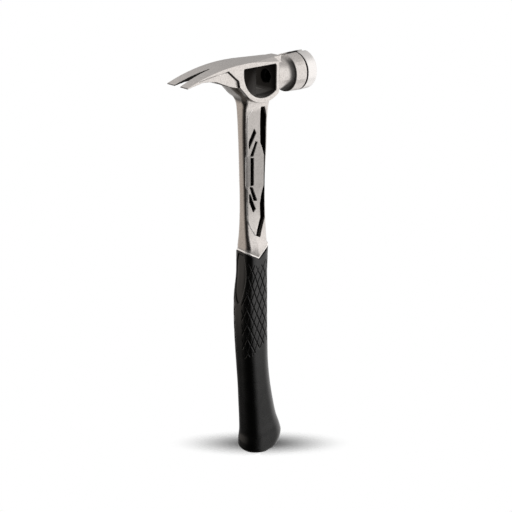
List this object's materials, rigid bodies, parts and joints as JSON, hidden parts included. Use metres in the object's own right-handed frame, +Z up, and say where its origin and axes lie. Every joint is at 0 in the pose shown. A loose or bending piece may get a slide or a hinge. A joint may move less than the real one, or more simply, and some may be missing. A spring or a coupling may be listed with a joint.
{
  "type": "framing hammer",
  "caption": "Straight-claw framing hammer: cast titanium head and shaft with a windowed head, a bolted steel striking cap and a moulded rubber grip.",
  "frame": {"origin": "on the flat of the butt, under the handle's line", "axes": "+Z up the handle to the head, +X to the striking face, -X to the claw, Y across the hammer"},
  "size_m": [0.1585, 0.038, 0.452],
  "materials": {
    "cast_titanium": "investment-cast titanium alloy, bead-blasted to a warm grey satin",
    "cap_steel": "turned tool steel, satin",
    "black_oxide_steel": "black oxide over alloy steel",
    "spring_steel": "dark spring steel",
    "pin_steel": "ground dowel steel",
    "nickel_magnet": "nickel-plated magnet",
    "grip_rubber": "moulded black rubber, matt, with a diamond pattern on the sides"
  },
  "bodies": {
    "hammer": {"titanium_body": "cast_titanium", "rubber_grip": "grip_rubber", "nail_magnet": "nickel_magnet", "locating_pin": "pin_steel"},
    "bolt": {"cap_bolt": "black_oxide_steel", "lock_washer": "spring_steel"},
    "cap": {"strike_cap": "cap_steel"}
  },
  "joints": [
    {"name": "bolt_turn", "type": "hinge", "parent": "hammer", "child": "bolt", "pos_m": [0.02, 0, 0.433], "axis": [-1, 0, 0], "range_deg": [0, 3960]},
    {"name": "cap_slide", "type": "slide", "parent": "hammer", "child": "cap", "axis": [1, 0, 0], "range_m": [0, 0.01375]}
  ],
  "couplings": [
    {"joint": "bolt_turn", "follows": "cap_slide", "rad_per_m": 5026.5}
  ]
}
